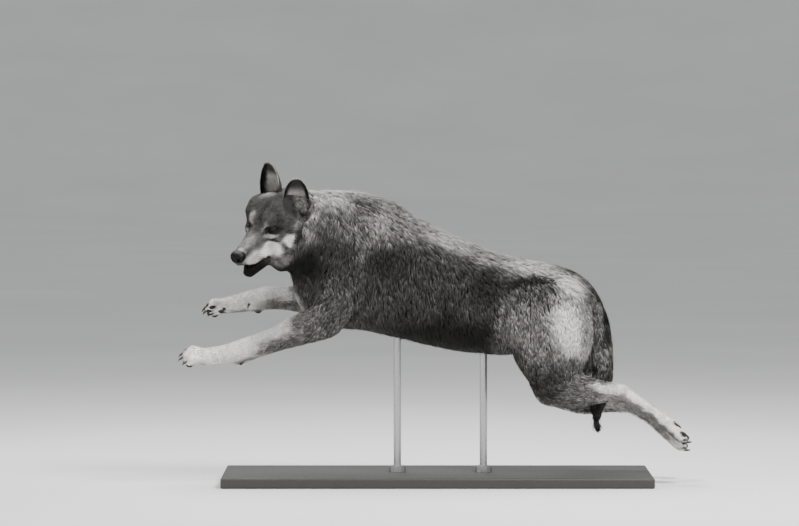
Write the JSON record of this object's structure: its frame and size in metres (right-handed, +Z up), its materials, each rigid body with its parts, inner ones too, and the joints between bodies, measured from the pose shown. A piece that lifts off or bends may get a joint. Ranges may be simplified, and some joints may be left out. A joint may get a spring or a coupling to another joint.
{
  "type": "wolf model on a display stand",
  "caption": "Life-size grey wolf caught in mid leap, head turned to its left, held over a flat base by short rods.",
  "frame": {"origin": "middle of the stand's underside, on the floor", "axes": "+Z up, the wolf leaps towards -X, its left side faces -Y"},
  "size_m": [1.4955, 0.46, 0.9309],
  "materials": {
    "coat_dark": "short near-black hair",
    "coat_grey": "dense grizzled grey hair",
    "coat_pale": "dense pale hair",
    "nose_leather": "moist black leather",
    "eye": "polished amber eye",
    "claw": "dark horn",
    "steel": "brushed steel",
    "base_paint": "satin dark grey paint"
  },
  "bodies": {
    "root": {"claw_fore_left_1": "claw", "claw_fore_left_2": "claw", "claw_fore_left_3": "claw", "claw_fore_left_4": "claw", "claw_fore_left_dew": "claw", "claw_fore_right_1": "claw", "claw_fore_right_2": "claw", "claw_fore_right_3": "claw", "claw_fore_right_4": "claw", "claw_fore_right_dew": "claw", "claw_hind_left_1": "claw", "claw_hind_left_2": "claw", "claw_hind_left_3": "claw", "claw_hind_left_4": "claw", "claw_hind_right_1": "claw", "claw_hind_right_2": "claw", "claw_hind_right_3": "claw", "claw_hind_right_4": "claw", "ear_left": "coat_grey", "ear_right": "coat_grey", "eye_left": "eye", "eye_right": "eye", "foreleg_left_elbow": "coat_grey", "foreleg_left_forearm": "coat_pale", "foreleg_left_pastern": "coat_pale", "foreleg_left_paw": "coat_pale", "foreleg_right_elbow": "coat_grey", "foreleg_right_forearm": "coat_pale", "foreleg_right_pastern": "coat_pale", "foreleg_right_paw": "coat_pale", "head": "coat_grey", "hindleg_left_hock": "coat_pale", "hindleg_left_paw": "coat_pale", "hindleg_left_shank": "coat_grey", "hindleg_left_thigh": "coat_pale", "hindleg_right_hock": "coat_pale", "hindleg_right_paw": "coat_pale", "hindleg_right_shank": "coat_grey", "hindleg_right_thigh": "coat_pale", "lower_jaw": "coat_dark", "neck": "coat_grey", "nose": "nose_leather", "stand_base": "base_paint", "stand_collar_front": "steel", "stand_collar_rear": "steel", "stand_rod_front": "steel", "stand_rod_rear": "steel", "tail": "coat_grey", "trunk_loin": "coat_grey", "trunk_ribs": "coat_grey"}
  },
  "joints": []
}
